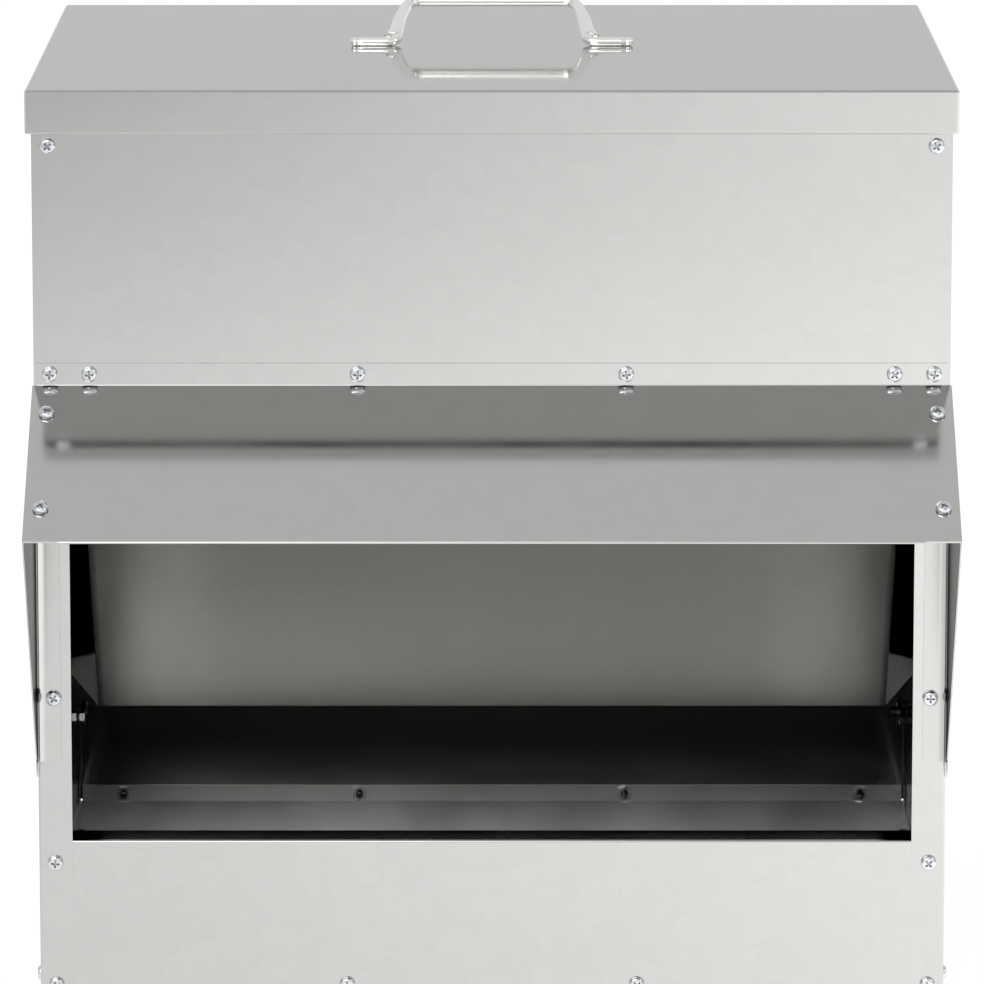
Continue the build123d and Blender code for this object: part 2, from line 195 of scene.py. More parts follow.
@dataclass(frozen=True)
class GalvanisedSteel:
    """Hot-dip galvanised steel sheet, skin-passed between polished rolls.

    The rolls press the zinc flat, so the eye gets soft mirror images, a barely visible
    spangle and fine streaks along the way that the sheet was rolled.

    The painted light and shade is a fit to the photograph and not a property of the sheet:
    it multiplies the colour by a level at each distance in millimetres from the middle,
    along one axis.
    """

    name: str = "galvanised_steel_skin_passed"
    edge_tint: float = 0.85
    light: str = "#CBCBC9"
    dark: str = "#C7C7C5"
    roughness: float = 0.085
    roughness_spread: float = 0.012
    spangle: float = 9.0
    streak_pitch: float = 1.2
    streak_length: float = 60.0
    streak_depth: float = 0.0002
    streak_breakup: float = 0.55
    handling_size: float = 70.0
    handling_range: Point2 = (0.3, 0.7)
    ripple_size: float = 160.0
    ripple_depth: float = 0.002
    rolled_along: Point3 = (1.0, 0.0, 0.0)
    # Painted light and shade: levels that lighten or darken the colour by place.
    painted_light_and_shade_axis: str = "X"
    painted_light_and_shade: tuple[Point2, ...] = ()

    def with_painted_light_and_shade(self, metal: Metal, colour: bpy.types.NodeSocket) -> bpy.types.NodeSocket:
        """Multiply the colour by the levels of painted light and shade.

        Args:
            metal: The metal that is being built.
            colour: The plain sheet's colour.

        Returns:
            The colour times the painted level there, or the same colour where no levels are given.
        """
        if not self.painted_light_and_shade:
            return colour
        axes = add_node(metal.tree, "ShaderNodeSeparateXYZ", {"Vector": metal.place}).outputs
        away = metal.math("ABSOLUTE", axes[self.painted_light_and_shade_axis])
        level = self.painted_light_and_shade[0][1]
        for (start, low), (end, high) in zip(self.painted_light_and_shade, self.painted_light_and_shade[1:]):
            step = metal.ranged(away, 0.0, high - low, start * MM, end * MM)
            level = metal.math("ADD", step, level)
        inputs = {0: colour, "Scale": level}
        return add_node(metal.tree, "ShaderNodeVectorMath", inputs, operation="SCALE").outputs["Vector"]

    def streaks(self, metal: Metal) -> bpy.types.NodeSocket:
        """Add streaks that are long in the way that the sheet was rolled.

        Args:
            metal: The metal that is being built.

        Returns:
            The streaks' height.
        """
        stretch = [
            (self.streak_pitch / self.streak_length if along_axis else 1.0) / (self.streak_pitch * MM)
            for along_axis in self.rolled_along
        ]
        rolled = add_node(metal.tree, "ShaderNodeMapping", {"Vector": metal.place, "Scale": stretch})
        inputs = {
            "Vector": rolled.outputs["Vector"],
            "Scale": 1.0,
            "Detail": 2.0,
            "Roughness": self.streak_breakup,
        }
        return add_node(metal.tree, "ShaderNodeTexNoise", inputs).outputs["Fac"]

    def build(self) -> bpy.types.Material:
        """Build the material.

        Returns:
            A metal whose spangle, streaks and ripple read Object coordinates.
        """
        metal = Metal(self.name)
        inputs = {"Vector": metal.place, "Scale": 1 / (self.spangle * MM), "Randomness": 1.0}
        cells = add_node(metal.tree, "ShaderNodeTexVoronoi", inputs, feature="F1").outputs["Color"]
        crystal = add_node(metal.tree, "ShaderNodeSeparateColor", {"Color": cells}).outputs["Red"]
        streaks = self.streaks(metal)
        half = metal.math("MULTIPLY", metal.math("ADD", crystal, streaks), 0.5)
        colour = metal.mixed(half, linear(self.dark), linear(self.light))
        low, high = self.roughness - self.roughness_spread, self.roughness + self.roughness_spread
        gloss = metal.ranged(metal.noise(self.handling_size, 3.0), low, high, *self.handling_range)
        wave = metal.bump(metal.noise(self.ripple_size, 1.0), self.ripple_depth)
        grain = metal.bump(streaks, self.streak_depth, wave)
        tint = (self.edge_tint, self.edge_tint, self.edge_tint, 1.0)
        return metal.finish(self.with_painted_light_and_shade(metal, colour), gloss, grain, Specular_Tint=tint)


@dataclass(frozen=True)
class PolishedStainlessWire:
    """Drawn stainless steel wire, bent and then tumble polished.

    It mirrors the room almost without blur, with faint draw marks and small dimples
    that break long highlights.
    """

    name: str = "stainless_wire_polished"
    colour: str = "#F8F8F6"
    roughness: float = 0.05
    gloss_range: Point2 = (0.7, 1.4)
    dimple: float = 5.0
    dimple_depth: float = 0.02

    def build(self) -> bpy.types.Material:
        """Build the material.

        Returns:
            A bright metal with faint dimples.
        """
        metal = Metal(self.name)
        dimples = metal.noise(self.dimple, 1.0)
        gloss = metal.ranged(dimples, *(self.roughness * share for share in self.gloss_range))
        return metal.finish(linear(self.colour), gloss, metal.bump(dimples, self.dimple_depth))


@dataclass(frozen=True)
class BrightZinc:
    """Cold-headed steel fasteners with bright zinc plating.

    The plating is shinier than the sheet and slightly blue, and barrel plating leaves
    small dents that make each head sparkle a little differently. The attribute hollow
    mixes the colour towards a dark grey in the recess and at the lower edge of the head:
    painted shade, fitted to the photograph.
    """

    name: str = "zinc_plated_steel_bright"
    light: str = "#F0F2F5"
    dark: str = "#C4C7CA"
    # dull is the dark grey of the painted shade in the recess and under the head's edge.
    dull: str = "#4A4C4E"
    roughness: float = 0.12
    gloss_range: Point2 = (0.7, 1.5)
    dent: float = 1.1
    dent_depth: float = 0.03

    def build(self) -> bpy.types.Material:
        """Build the material.

        Returns:
            A bright metal with small dents.
        """
        metal = Metal(self.name)
        dents = metal.noise(self.dent, 2.0)
        bright = metal.mixed(dents, linear(self.dark), linear(self.light))
        # Painted shade: the recess and the head's lower edge are mixed towards dark grey.
        hollow = add_node(metal.tree, "ShaderNodeAttribute", attribute_name="hollow").outputs["Fac"]
        colour = metal.mixed(hollow, bright, linear(self.dull))
        gloss = metal.ranged(dents, *(self.roughness * share for share in self.gloss_range))
        return metal.finish(colour, gloss, metal.bump(dents, self.dent_depth))


# Mesh helpers


def mesh_object(name: str, mesh: bpy.types.Mesh, material: bpy.types.Material) -> bpy.types.Object:
    """Put a finished mesh into the scene.

    Args:
        name: The piece's name.
        mesh: Its mesh, in metres, with its place in its vertices.
        material: Its only material.

    Returns:
        The new object, at the origin.
    """
    mesh.materials.clear()
    mesh.materials.append(material)
    made = bpy.data.objects.new(name, mesh)
    bpy.context.scene.collection.objects.link(made)
    return made


def shade(mesh: bpy.types.Mesh, angle: float = 32.0) -> None:
    """Shade a mesh smooth, apart from edges sharper than an angle in degrees."""
    for face in mesh.polygons:
        face.use_smooth = True
    mesh.set_sharp_from_angle(angle=radians(angle))


def to_mesh(name: str, verts: list[Point3], faces: list[list[int]], angle: float = 32.0) -> bpy.types.Mesh:
    """Make a mesh from millimetre points, with its faces outward.

    Args:
        name: The mesh's name.
        verts: Points in millimetres.
        faces: Point numbers of each face.
        angle: Edges sharper than this many degrees stay sharp.

    Returns:
        The mesh, in metres.
    """
    mesh = bpy.data.meshes.new(name)
    mesh.from_pydata([tuple(c * MM for c in v) for v in verts], [], faces)
    work = bmesh.new()
    work.from_mesh(mesh)
    bmesh.ops.remove_doubles(work, verts=work.verts, dist=1e-7)
    bmesh.ops.recalc_face_normals(work, faces=work.faces)
    work.to_mesh(mesh)
    work.free()
    shade(mesh, angle)
    return mesh


def joined(name: str, meshes: list[bpy.types.Mesh], angle: float = 32.0) -> bpy.types.Mesh:
    """Join several closed meshes into one.

    Args:
        name: The new mesh's name.
        meshes: The meshes, which are removed.
        angle: Edges sharper than this many degrees stay sharp.

    Returns:
        The joined mesh.
    """
    work = bmesh.new()
    for mesh in meshes:
        work.from_mesh(mesh)
    whole = bpy.data.meshes.new(name)
    work.to_mesh(whole)
    work.free()
    for mesh in meshes:
        bpy.data.meshes.remove(mesh)
    shade(whole, angle)
    return whole


def ring_faces(rows: int, around: int, closed: bool = False) -> list[list[int]]:
    """Join rings of points with four-sided faces.

    Args:
        rows: How many rings there are.
        around: How many points each ring has.
        closed: Whether the last ring joins the first one.

    Returns:
        Point numbers of each face.
    """
    faces = []
    for row in range(rows if closed else rows - 1):
        here, ahead = row * around, (row + 1) % rows * around
        for i in range(around):
            j = (i + 1) % around
            faces.append([here + i, here + j, ahead + j, ahead + i])
    return faces


def applied(carrier: bpy.types.Object) -> bpy.types.Mesh:
    """Apply an object's modifiers.

    Args:
        carrier: The object, which is removed, though its own mesh stays.

    Returns:
        What its modifiers make, as a plain mesh.
    """
    bpy.context.scene.collection.objects.link(carrier)
    mesh = bpy.data.meshes.new_from_object(carrier.evaluated_get(bpy.context.evaluated_depsgraph_get()))
    bpy.data.objects.remove(carrier)
    return mesh


def levelled(mesh: bpy.types.Mesh) -> bpy.types.Mesh:
    """Keep the flat runs of a folded mesh flat in the light.

    Normals are weighted by area, so that a bend takes up the whole turn by itself.

    Args:
        mesh: A smooth-shaded mesh, which is removed.

    Returns:
        The same mesh with weighted normals.
    """
    carrier = bpy.data.objects.new("carrier", mesh)
    modifier = carrier.modifiers.new("weighted", "WEIGHTED_NORMAL")
    modifier.mode = "FACE_AREA"
    modifier.weight = 100
    modifier.keep_sharp = True
    flat = applied(carrier)
    flat.name = mesh.name
    bpy.data.meshes.remove(mesh)
    return flat


def smooth(share: float) -> float:
    """Return a smooth step that goes from 0 at share 0 to 1 at share 1."""
    share = min(1.0, max(0.0, share))
    return share * share * (3 - 2 * share)


def along(start: Point2, angle: float, distance: float) -> Point2:
    """Return the point a distance from start, at an angle in degrees."""
    return start[0] + distance * cos(radians(angle)), start[1] + distance * sin(radians(angle))


@dataclass
class Corner:
    """A corner of a sheet's middle line, bent to a radius.

    The run that leaves the corner spans low to high across the profile, and where these
    are given, low_end to high_end at the next corner.
    """

    u: float
    v: float
    radius: float = 0.0
    low: float = 0.0
    high: float = 0.0
    low_end: float | None = None
    high_end: float | None = None

    @property
    def end(self) -> Point2:
        """Where the run's span ends, at the next corner."""
        low = self.low if self.low_end is None else self.low_end
        return low, self.high if self.high_end is None else self.high_end


@dataclass
class FoldedSheet:
    """A sheet folded along parallel lines, given by the middle line of its section.

    The section lies in the (u, v) plane of place, and each run spans w from low to high.
    """

    name: str
    corners: list[Corner]
    place: Matrix
    thickness: float = 0.7
    bend_steps: int = 6

    def stations(self) -> list[tuple[Vector, Vector, int]]:
        """Sample the middle line.

        Returns:
            Point, unit normal and run number of each station, in order.
        """
        points = [Vector((c.u, c.v)) for c in self.corners]
        found: list[tuple[Vector, Vector, int]] = []
        for i, (corner, here) in enumerate(zip(self.corners, points)):
            ahead = (points[i + 1] - here).normalized() if i + 1 < len(points) else None
            behind = (here - points[i - 1]).normalized() if i else None
            if behind is None or ahead is None:
                way = ahead or behind
                found.append((here, Vector((-way.y, way.x)), min(i, len(points) - 2)))
                continue
            turn = behind.angle_signed(ahead) * -1
            set_back = corner.radius * tan(abs(turn) / 2)
            start = here - behind * set_back
            left = Vector((-behind.y, behind.x))
            centre = start + left * corner.radius * (1 if turn > 0 else -1)
            narrow = self.narrower(i - 1, i)
            for step in range(self.bend_steps + 1):
                share = turn * step / self.bend_steps
                spin = Matrix.Rotation(share, 2)
                run = i - 1 if step == 0 else (i if step == self.bend_steps else narrow)
                found.append((centre + spin @ (start - centre), spin @ left, run))
        return found

    def narrower(self, a: int, b: int) -> int:
        """Return whichever of two runs is narrower where they meet."""
        low, high = self.corners[a].end
        return a if high - low <= self.corners[b].high - self.corners[b].low else b

    def span(self, run: int, point: Vector) -> tuple[float, float]:
        """Return how far a run reaches across at a point of it."""
        corner = self.corners[run]
        if corner.low_end is None and corner.high_end is None:
            return corner.low, corner.high
        start = Vector((corner.u, corner.v))
        end = Vector((self.corners[run + 1].u, self.corners[run + 1].v))
        share = (point - start).dot(end - start) / (end - start).length_squared
        share = min(1.0, max(0.0, share))
        low, high = corner.end
        return corner.low + share * (low - corner.low), corner.high + share * (high - corner.high)

    def build(self) -> bpy.types.Mesh:
        """Build the closed sheet.

        Returns:
            A mesh in metres, in the row frame.
        """
        stations = self.stations()
        last = len(stations) - 1
        runs = [station[2] for station in stations]
        joints = [
            [
                self.span(self.between(runs[max(i - 1, 0)], runs[i]), point),
                self.span(self.between(runs[i], runs[min(i + 1, last)]), point),
            ]
            for i, (point, _, _) in enumerate(stations)
        ]
        verts: list[Point3] = []
        index: dict[tuple[int, int, float], int] = {}

        def vert(station: int, side: int, across: float) -> int:
            """Return the number of a vertex, made when it is first asked for."""
            key = (station, side, round(across, 6))
            if key not in index:
                point, normal, _ = stations[station]
                uv = point + normal * side * self.thickness / 2
                index[key] = len(verts)
                verts.append(tuple(self.place @ Vector((uv.x, uv.y, across))))
            return index[key]

        def marks(station: int, low: float, high: float) -> list[float]:
            """Return every crossing point of a station from low to high."""
            ends = {round(v, 6) for pair in joints[station] for v in pair}
            return sorted(v for v in ends if low - 1e-6 <= v <= high + 1e-6)

        faces: list[list[int]] = []
        for i in range(last):
            low0, high0 = joints[i][1]
            low1, high1 = joints[i + 1][0]
            for side in SIDES:
                row = [vert(i, side, w) for w in marks(i, low0, high0)]
                row += [vert(i + 1, side, w) for w in reversed(marks(i + 1, low1, high1))]
                faces.append(row if side > 0 else row[::-1])
            for end0, end1 in ((low0, low1), (high0, high1)):
                edge = ((i, 1, end0), (i + 1, 1, end1), (i + 1, -1, end1), (i, -1, end0))
                faces.append([vert(*corner) for corner in edge])
        for i in range(last + 1):
            (low_a, high_a), (low_b, high_b) = joints[i]
            ends = marks(i, min(low_a, low_b), max(high_a, high_b))
            for w0, w1 in zip(ends, ends[1:]):
                middle = (w0 + w1) / 2
                in_a = i > 0 and low_a < middle < high_a
                in_b = i < last and low_b < middle < high_b
                if in_a != in_b:
                    faces.append([vert(i, 1, w0), vert(i, 1, w1), vert(i, -1, w1), vert(i, -1, w0)])
        return to_mesh(self.name, verts, faces)

    def between(self, a: int, b: int) -> int:
        """Return the run that the stretch between two stations belongs to."""
        return a if a == b else self.narrower(min(a, b), max(a, b))


ACROSS_X = Matrix(((0, 0, 1, 0), (1, 0, 0, 0), (0, 1, 0, 0), (0, 0, 0, 1)))
ALONG_Z = Matrix(((1, 0, 0, 0), (0, 1, 0, 0), (0, 0, 1, 0), (0, 0, 0, 1)))


# Sizes that every sub-assembly shares


@dataclass(frozen=True)
class Body:
    """Sizes that every sub-assembly shares."""

    sheet: float = 0.7
    width: float = 460.0
    depth: float = 356.0
    height: float = 469.0
    lid_gap: float = 0.3
    corner_screw_inset: float = 8.2
    hood_bend_height: float = 320.7
    hood_slope: float = 33.0

    @property
    def half_width(self) -> float:
        """Half of the body's width."""
        return self.width / 2

    @property
    def front_y(self) -> float:
        """The outer face of the hopper front."""
        return -self.depth / 2

    @property
    def back_y(self) -> float:
        """The outer face of the back panel."""
        return self.depth / 2

    @property
    def corner_screw_x(self) -> float:
        """How far the corner screws sit from the middle."""
        return self.half_width - self.corner_screw_inset

    @property
    def lid_top(self) -> float:
        """The top face of the closed lid."""
        return self.height + self.lid_gap + self.sheet


# Fasteners


class Fastener(Enum):
    """The kinds of fastener that the feeder has."""

    PAN_SCREW = "pan_screw"
    SMALL_SCREW = "small_screw"
    HEX_NUT = "hex_nut"


@dataclass(frozen=True)
class ScrewShape:
    """A pan head screw with a cross recess, seated on its local XY plane."""

    head_radius: float = 4.0
    head_height: float = 2.9
    shank_radius: float = 2.0
    length: float = 8.0
    recess_reach: float = 2.15
    recess_half: float = 0.5
    recess_depth: float = 1.3
    thread_pitch: float = 0.7
    thread_depth: float = 0.28
    seat_shade: float = 1.2
    recess_shade: float = 0.5
    recess_taper: Point2 = (0.62, 0.55)
    lip_spread: float = 1.03
    lip_drops: Point2 = (0.10, 0.02)
    shade_reach: float = 1.02
    shade_start: float = 0.05
    shade_run: float = 0.2
    crown: tuple[Point2, ...] = (
        (0.62, 0.0),
        (0.72, 0.03),
        (0.81, 0.09),
        (0.885, 0.18),
        (0.94, 0.30),
        (0.98, 0.46),
        (1.0, 0.66),
        (1.0, 0.84),
        (0.97, 1.0),
    )

    def cross(self, reach: float, half: float) -> list[Point2]:
        """Outline the recess.

        Args:
            reach: From the middle to an arm's tip.
            half: Half an arm's width.

        Returns:
            48 points, from the tip of the +X arm, anticlockwise.
        """
        arm = [
            (reach, 0.0),
            (reach * 0.975, half * 0.62),
            (reach * 0.90, half),
            (reach * 0.70, half),
            (reach * 0.50, half),
            (half + 0.16, half + 0.01),
            (half + 0.05, half + 0.05),
        ]
        quarter = arm + [(v, u) for u, v in reversed(arm[1:-1])]
        outline: list[Point2] = []
        for turn in range(4):
            spin = Matrix.Rotation(turn * pi / 2, 2)
            outline += [tuple(spin @ Vector(point)) for point in quarter]
        return outline

    def build(self) -> bpy.types.Mesh:
        """Build the screw.

        Returns:
            A closed mesh in metres.
        """
        around = len(self.cross(1.0, 0.2))
        turns = [2 * pi * i / around for i in range(around)]
        top = self.head_height
        loops: list[list[Point3]] = []
        reach_share, half_share = self.recess_taper
        floor = self.cross(self.recess_reach * reach_share, self.recess_half * half_share)
        mouth = self.cross(self.recess_reach, self.recess_half)
        loops.append([(x, y, top - self.recess_depth) for x, y in floor])
        deep, shallow = self.lip_drops
        loops.append([(x, y, top - deep) for x, y in mouth])
        loops.append([(x * self.lip_spread, y * self.lip_spread, top - shallow) for x, y in mouth])
        for share, drop in self.crown:
            radius = share * self.head_radius
            loops.append([(radius * cos(a), radius * sin(a), top * (1 - drop)) for a in turns])
        loops.append([(self.shank_radius * cos(a), self.shank_radius * sin(a), 0.0) for a in turns])
        verts = [point for loop in loops for point in loop]
        faces = ring_faces(len(loops), around)
        faces.append(list(range(around))[::-1])
        self.add_thread(verts, faces, (len(loops) - 1) * around, around)
        mesh = to_mesh("screw_master", verts, faces, 38.0)
        self.mark_hollows(mesh)
        return mesh

    def mark_hollows(self, mesh: bpy.types.Mesh) -> None:
        """Mark the recess and the lower edge of the head, where the finish paints shade."""
        hollow = mesh.attributes.new("hollow", "FLOAT", "POINT")
        for vertex, mark in zip(mesh.vertices, hollow.data):
            x, y, z = (c / MM for c in vertex.co)
            inside = hypot(x, y) < self.recess_reach * self.shade_reach and z > 0
            share = (self.head_height - self.shade_start - z) / self.shade_run if inside else 0.0
            deep = self.recess_shade * min(1.0, share)
            low = 1.0 - z / self.seat_shade if z < self.seat_shade else 0.0
            mark.value = min(1.0, max(0.0, deep, low))

    def add_thread(self, verts: list[Point3], faces: list[list[int]], seat: int, around: int) -> None:
        """Run a helical thread down from the head.

        Args:
            verts: The screw's points, which grow.
            faces: The screw's faces, which grow.
            seat: The number of the first point of the ring under the head.
            around: How many points that ring has.
        """
        thread_around = around // 4
        rows = int(self.length / self.thread_pitch * 3)
        first = len(verts)
        for row in range(1, rows + 1):
            drop = self.length * row / rows
            for i in range(thread_around):
                phase = (drop / self.thread_pitch + i / thread_around) % 1.0
                radius = self.shank_radius - self.thread_depth * abs(2 * phase - 1)
                if row == rows:
                    radius = self.shank_radius - self.thread_depth - 0.2
                angle = 2 * pi * i / thread_around
                verts.append((radius * cos(angle), radius * sin(angle), -drop))
        for i in range(thread_around):
            j = (i + 1) % thread_around
            arc = [seat + (4 * i + k) % around for k in range(5)]
            faces.append(arc + [first + j, first + i])
            for row in range(rows - 1):
                a, b = first + row * thread_around, first + (row + 1) * thread_around
                faces.append([a + i, a + j, b + j, b + i])
        faces.append([first + (rows - 1) * thread_around + i for i in range(thread_around)])


@dataclass(frozen=True)
class NutShape:
    """A hexagon nut, chamfered on both faces, that hangs below its local XY plane."""

    width: float = 7.0
    height: float = 3.2
    bore: float = 2.05
    chamfer: float = 30.0
    around: int = 48

    def build(self) -> bpy.types.Mesh:
        """Build the nut.

        Returns:
            A closed mesh in metres.
        """
        inner = self.width / 2 * 0.95
        turns = [2 * pi * i / self.around for i in range(self.around)]
        flats = [self.width / 2 / cos((a + pi / 6) % (pi / 3) - pi / 6) for a in turns]
        drops = [(flat - inner) * tan(radians(self.chamfer)) for flat in flats]
        rings: list[list[Point3]] = [
            [(self.bore * cos(a), self.bore * sin(a), 0.0) for a in turns],
            [(inner * cos(a), inner * sin(a), 0.0) for a in turns],
            [(r * cos(a), r * sin(a), -d) for r, d, a in zip(flats, drops, turns)],
            [(r * cos(a), r * sin(a), d - self.height) for r, d, a in zip(flats, drops, turns)],
            [(inner * cos(a), inner * sin(a), -self.height) for a in turns],
            [(self.bore * cos(a), self.bore * sin(a), -self.height) for a in turns],
        ]
        verts = [point for ring in rings for point in ring]
        return to_mesh("nut_master", verts, ring_faces(len(rings), self.around, closed=True), 20.0)


@dataclass
class FastenerRows:
    """Rows of screws and nuts, set on the CAD seats by one Geometry Nodes tree."""

    body: Body
    tree: bpy.types.NodeTree = field(init=False)
    masters: dict[Fastener, bpy.types.Object] = field(default_factory=dict)

    def __post_init__(self) -> None:
        """Build the tree and one master of each fastener."""
        self.tree = self.build_tree()
        shapes = {
            Fastener.PAN_SCREW: ScrewShape(),
            Fastener.SMALL_SCREW: ScrewShape(
                head_radius=2.8,
                head_height=2.2,
                shank_radius=1.5,
                length=4.0,
                recess_reach=1.5,
                recess_half=0.35,
                recess_depth=0.9,
                thread_pitch=0.5,
                thread_depth=0.2,
            ),
            Fastener.HEX_NUT: NutShape(),
        }
        for kind, shape in shapes.items():
            master = bpy.data.objects.new(f"{kind.value}_master", shape.build())
            bpy.context.scene.collection.objects.link(master)
            self.masters[kind] = master

    def build_tree(self) -> bpy.types.NodeTree:
        """Build the tree that sets a fastener on every seat.

        Returns:
            A tree with the inputs Fastener, Size, Turn, Seed and Finish.
        """
        tree = bpy.data.node_groups.new("fasteners_on_seats", "GeometryNodeTree")
        inputs = {
            "Geometry": "Geometry",
            "Fastener": "Object",
            "Size": "Float",
            "Turn": "Float",
            "Seed": "Int",
            "Finish": "Material",
        }
        for name, kind in inputs.items():
            tree.interface.new_socket(name, in_out="INPUT", socket_type=f"NodeSocket{kind}")
        tree.interface.new_socket("Geometry", in_out="OUTPUT", socket_type="NodeSocketGeometry")
        given = add_node(tree, "NodeGroupInput").outputs
        outward = add_node(
            tree, "GeometryNodeInputNamedAttribute", {"Name": "outward"}, data_type="FLOAT_VECTOR"
        )
        facing = add_node(
            tree, "FunctionNodeAlignRotationToVector", {"Vector": outward.outputs["Attribute"]}, axis="Z"
        )
        spin = add_node(tree, "FunctionNodeRandomValue", {"Seed": given["Seed"]}, data_type="FLOAT")
        tree.links.new(given["Turn"], spin.inputs[3])
        axis = add_node(tree, "ShaderNodeCombineXYZ", {"Z": spin.outputs[1]})
        local = add_node(tree, "FunctionNodeEulerToRotation", {"Euler": axis.outputs["Vector"]})
        turned = add_node(
            tree,
            "FunctionNodeRotateRotation",
            {"Rotation": facing.outputs["Rotation"], "Rotate By": local.outputs["Rotation"]},
            rotation_space="LOCAL",
        )
        shape = add_node(tree, "GeometryNodeObjectInfo", {"Object": given["Fastener"], "As Instance": True})
        rows = add_node(
            tree,
            "GeometryNodeInstanceOnPoints",
            {
                "Points": given["Geometry"],
                "Instance": shape.outputs["Geometry"],
                "Rotation": turned.outputs["Rotation"],
                "Scale": given["Size"],
            },
        )
        real = add_node(tree, "GeometryNodeRealizeInstances", {"Geometry": rows.outputs["Instances"]})
        dressed = add_node(
            tree,
            "GeometryNodeSetMaterial",
            {"Geometry": real.outputs["Geometry"], "Material": given["Finish"]},
        )
        add_node(tree, "NodeGroupOutput", {"Geometry": dressed.outputs["Geometry"]})
        return tree

    def place_row(
        self,
        name: str,
        kind: Fastener,
        seats: list[tuple[Point3, Point3]],
        depth: float,
        finish: bpy.types.Material,
        seed: int,
        rides: str = HOUSING,
    ) -> bpy.types.Object:
        """Set one row of fasteners and let it stand for its CAD node.

        Args:
            name: The CAD node that the row replaces.
            kind: Which fastener it holds.
            seats: Place and outward direction of every seat.
            depth: How far under its seat each fastener sits.
            finish: The fasteners' material.
            seed: Seed of the turns about their own axes.
            rides: The body that the row rides on.

        Returns:
            The row as one plain mesh object.
        """
        points = bpy.data.meshes.new(f"{name}_seats")
        places = [Vector(at) - Vector(out) * depth for at, out in seats]
        points.from_pydata([tuple(p * MM) for p in places], [], [])
        outward = points.attributes.new("outward", "FLOAT_VECTOR", "POINT")
        outward.data.foreach_set("vector", [c for _, out in seats for c in out])
        carrier = bpy.data.objects.new(f"{name}_carrier", points)
        modifier = carrier.modifiers.new("fasteners", "NODES")
        modifier.node_group = self.tree
        ports = self.tree.interface.items_tree
        sockets = {port.name: port.identifier for port in ports if port.in_out == "INPUT"}
        modifier[sockets["Fastener"]] = self.masters[kind]
        modifier[sockets["Size"]] = 1.0
        modifier[sockets["Turn"]] = 2 * pi
        modifier[sockets["Seed"]] = seed
        modifier[sockets["Finish"]] = finish
        mesh = applied(carrier)
        mesh.name = name
        bpy.data.meshes.remove(points)
        piece = mesh_object(f"{name}_detailed", mesh, finish)
        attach(piece, rides)
        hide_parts(name)
        log.info("%s: %d fasteners, %d faces", piece.name, len(seats), len(mesh.polygons))
        return piece

    def clear(self) -> None:
        """Remove the masters, which only the tree needed."""
        for master in self.masters.values():
            mesh = master.data
            bpy.data.objects.remove(master)
            bpy.data.meshes.remove(mesh)


@dataclass(frozen=True)
class Seats:
    """Seats of every row, on the outermost sheet that each row holds."""

    body: Body
    hopper_drop: float = 27.3
    flange_height: float = 326.3
    flange_middle: float = 67.4
    flange_inner_inset: float = 28.0
    slope_runs: Point2 = (21.2, 90.0)
    slope_inset: float = 7.4
    post_height: float = 160.1
    trough_height: float = 74.3
    base_height: float = 10.6
    base_middle: float = 73.7
    side_inset: float = 25.0
    rear_height: float = 29.5
    rear_inset: float = 25.0
    column_start: float = 75.0
    column_pitch: float = 67.0
    column_count: int = 6
    column_inset: float = 12.0
    baffle_runs: Point3 = (50.0, 130.0, 210.0)
    baffle_start: Point2 = (-177.3, 318.0)
    baffle_foot: Point2 = (-16.0, 121.0)
    baffle_rise: float = 37.0

    def pair(self, x: float, y: float, z: float) -> list[tuple[Point3, Point3]]:
        """Return two seats that mirror each other on a front face."""
        return [((side * x, y, z), (0.0, -1.0, 0.0)) for side in SIDES]

    def rows(self) -> dict[str, tuple[list[tuple[Point3, Point3]], int]]:
        """List every row.

        Returns:
            The row's name, its seats and how many sheets it grips.
        """
        body, front = self.body, self.body.front_y
        hood_y = front - body.sheet
        post_y = front + body.sheet
        flange = self.pair(body.corner_screw_x, hood_y, self.flange_height)
        for x in (self.flange_middle, body.half_width - self.flange_inner_inset):
            flange += self.pair(x, hood_y, self.flange_height)
        tilt = (0.0, -sin(radians(body.hood_slope)), cos(radians(body.hood_slope)))
        slope, side_row, rear, column, baffle = [], [], [], [], []
        for run in self.slope_runs:
            y, z = along((hood_y, body.hood_bend_height), 180 + body.hood_slope, run)
            slope += [((side * (body.half_width - self.slope_inset), y, z), tilt) for side in SIDES]
        over, down = (end - start for start, end in zip(self.baffle_start, self.baffle_foot))
        fall = degrees(atan2(down, over))
        for side in SIDES:
            out = (float(side), 0.0, 0.0)
            wall = side * body.half_width
            for y in (front + self.side_inset, 0.0, body.back_y - self.side_inset):
                side_row.append(((wall, y, self.base_height), out))
            for x in (self.base_middle, body.half_width - self.rear_inset):
                rear.append(((side * x, body.back_y, self.rear_height), (0.0, 1.0, 0.0)))
            for row in range(self.column_count):
                z = self.column_start + row * self.column_pitch
                column.append(((wall, body.back_y - self.column_inset, z), out))
            for run in self.baffle_runs:
                y, z = along(along(self.baffle_start, fall, run), fall + 90, self.baffle_rise)
                baffle.append(((wall, y, z), out))
        corner = body.corner_screw_x
        return {
            "hopper_corner": (self.pair(corner, front, body.height - self.hopper_drop), 2),
            "hood_flange": (flange, 3),
            "hood_slope": (slope, 2),
            "cheek_post": (self.pair(corner, front, self.post_height), 2),
            "trough_corner": (self.pair(corner, post_y, self.trough_height), 2),
            "base_corner": (self.pair(corner, post_y, self.base_height), 3),
            "base_front": (self.pair(self.base_middle, post_y + body.sheet, self.base_height), 2),
            "base_side": (side_row, 2),
            "rear_base": (rear, 2),
            "rear_column": (column, 2),
            "baffle_side": (baffle, 2),
        }


# Lid and handle


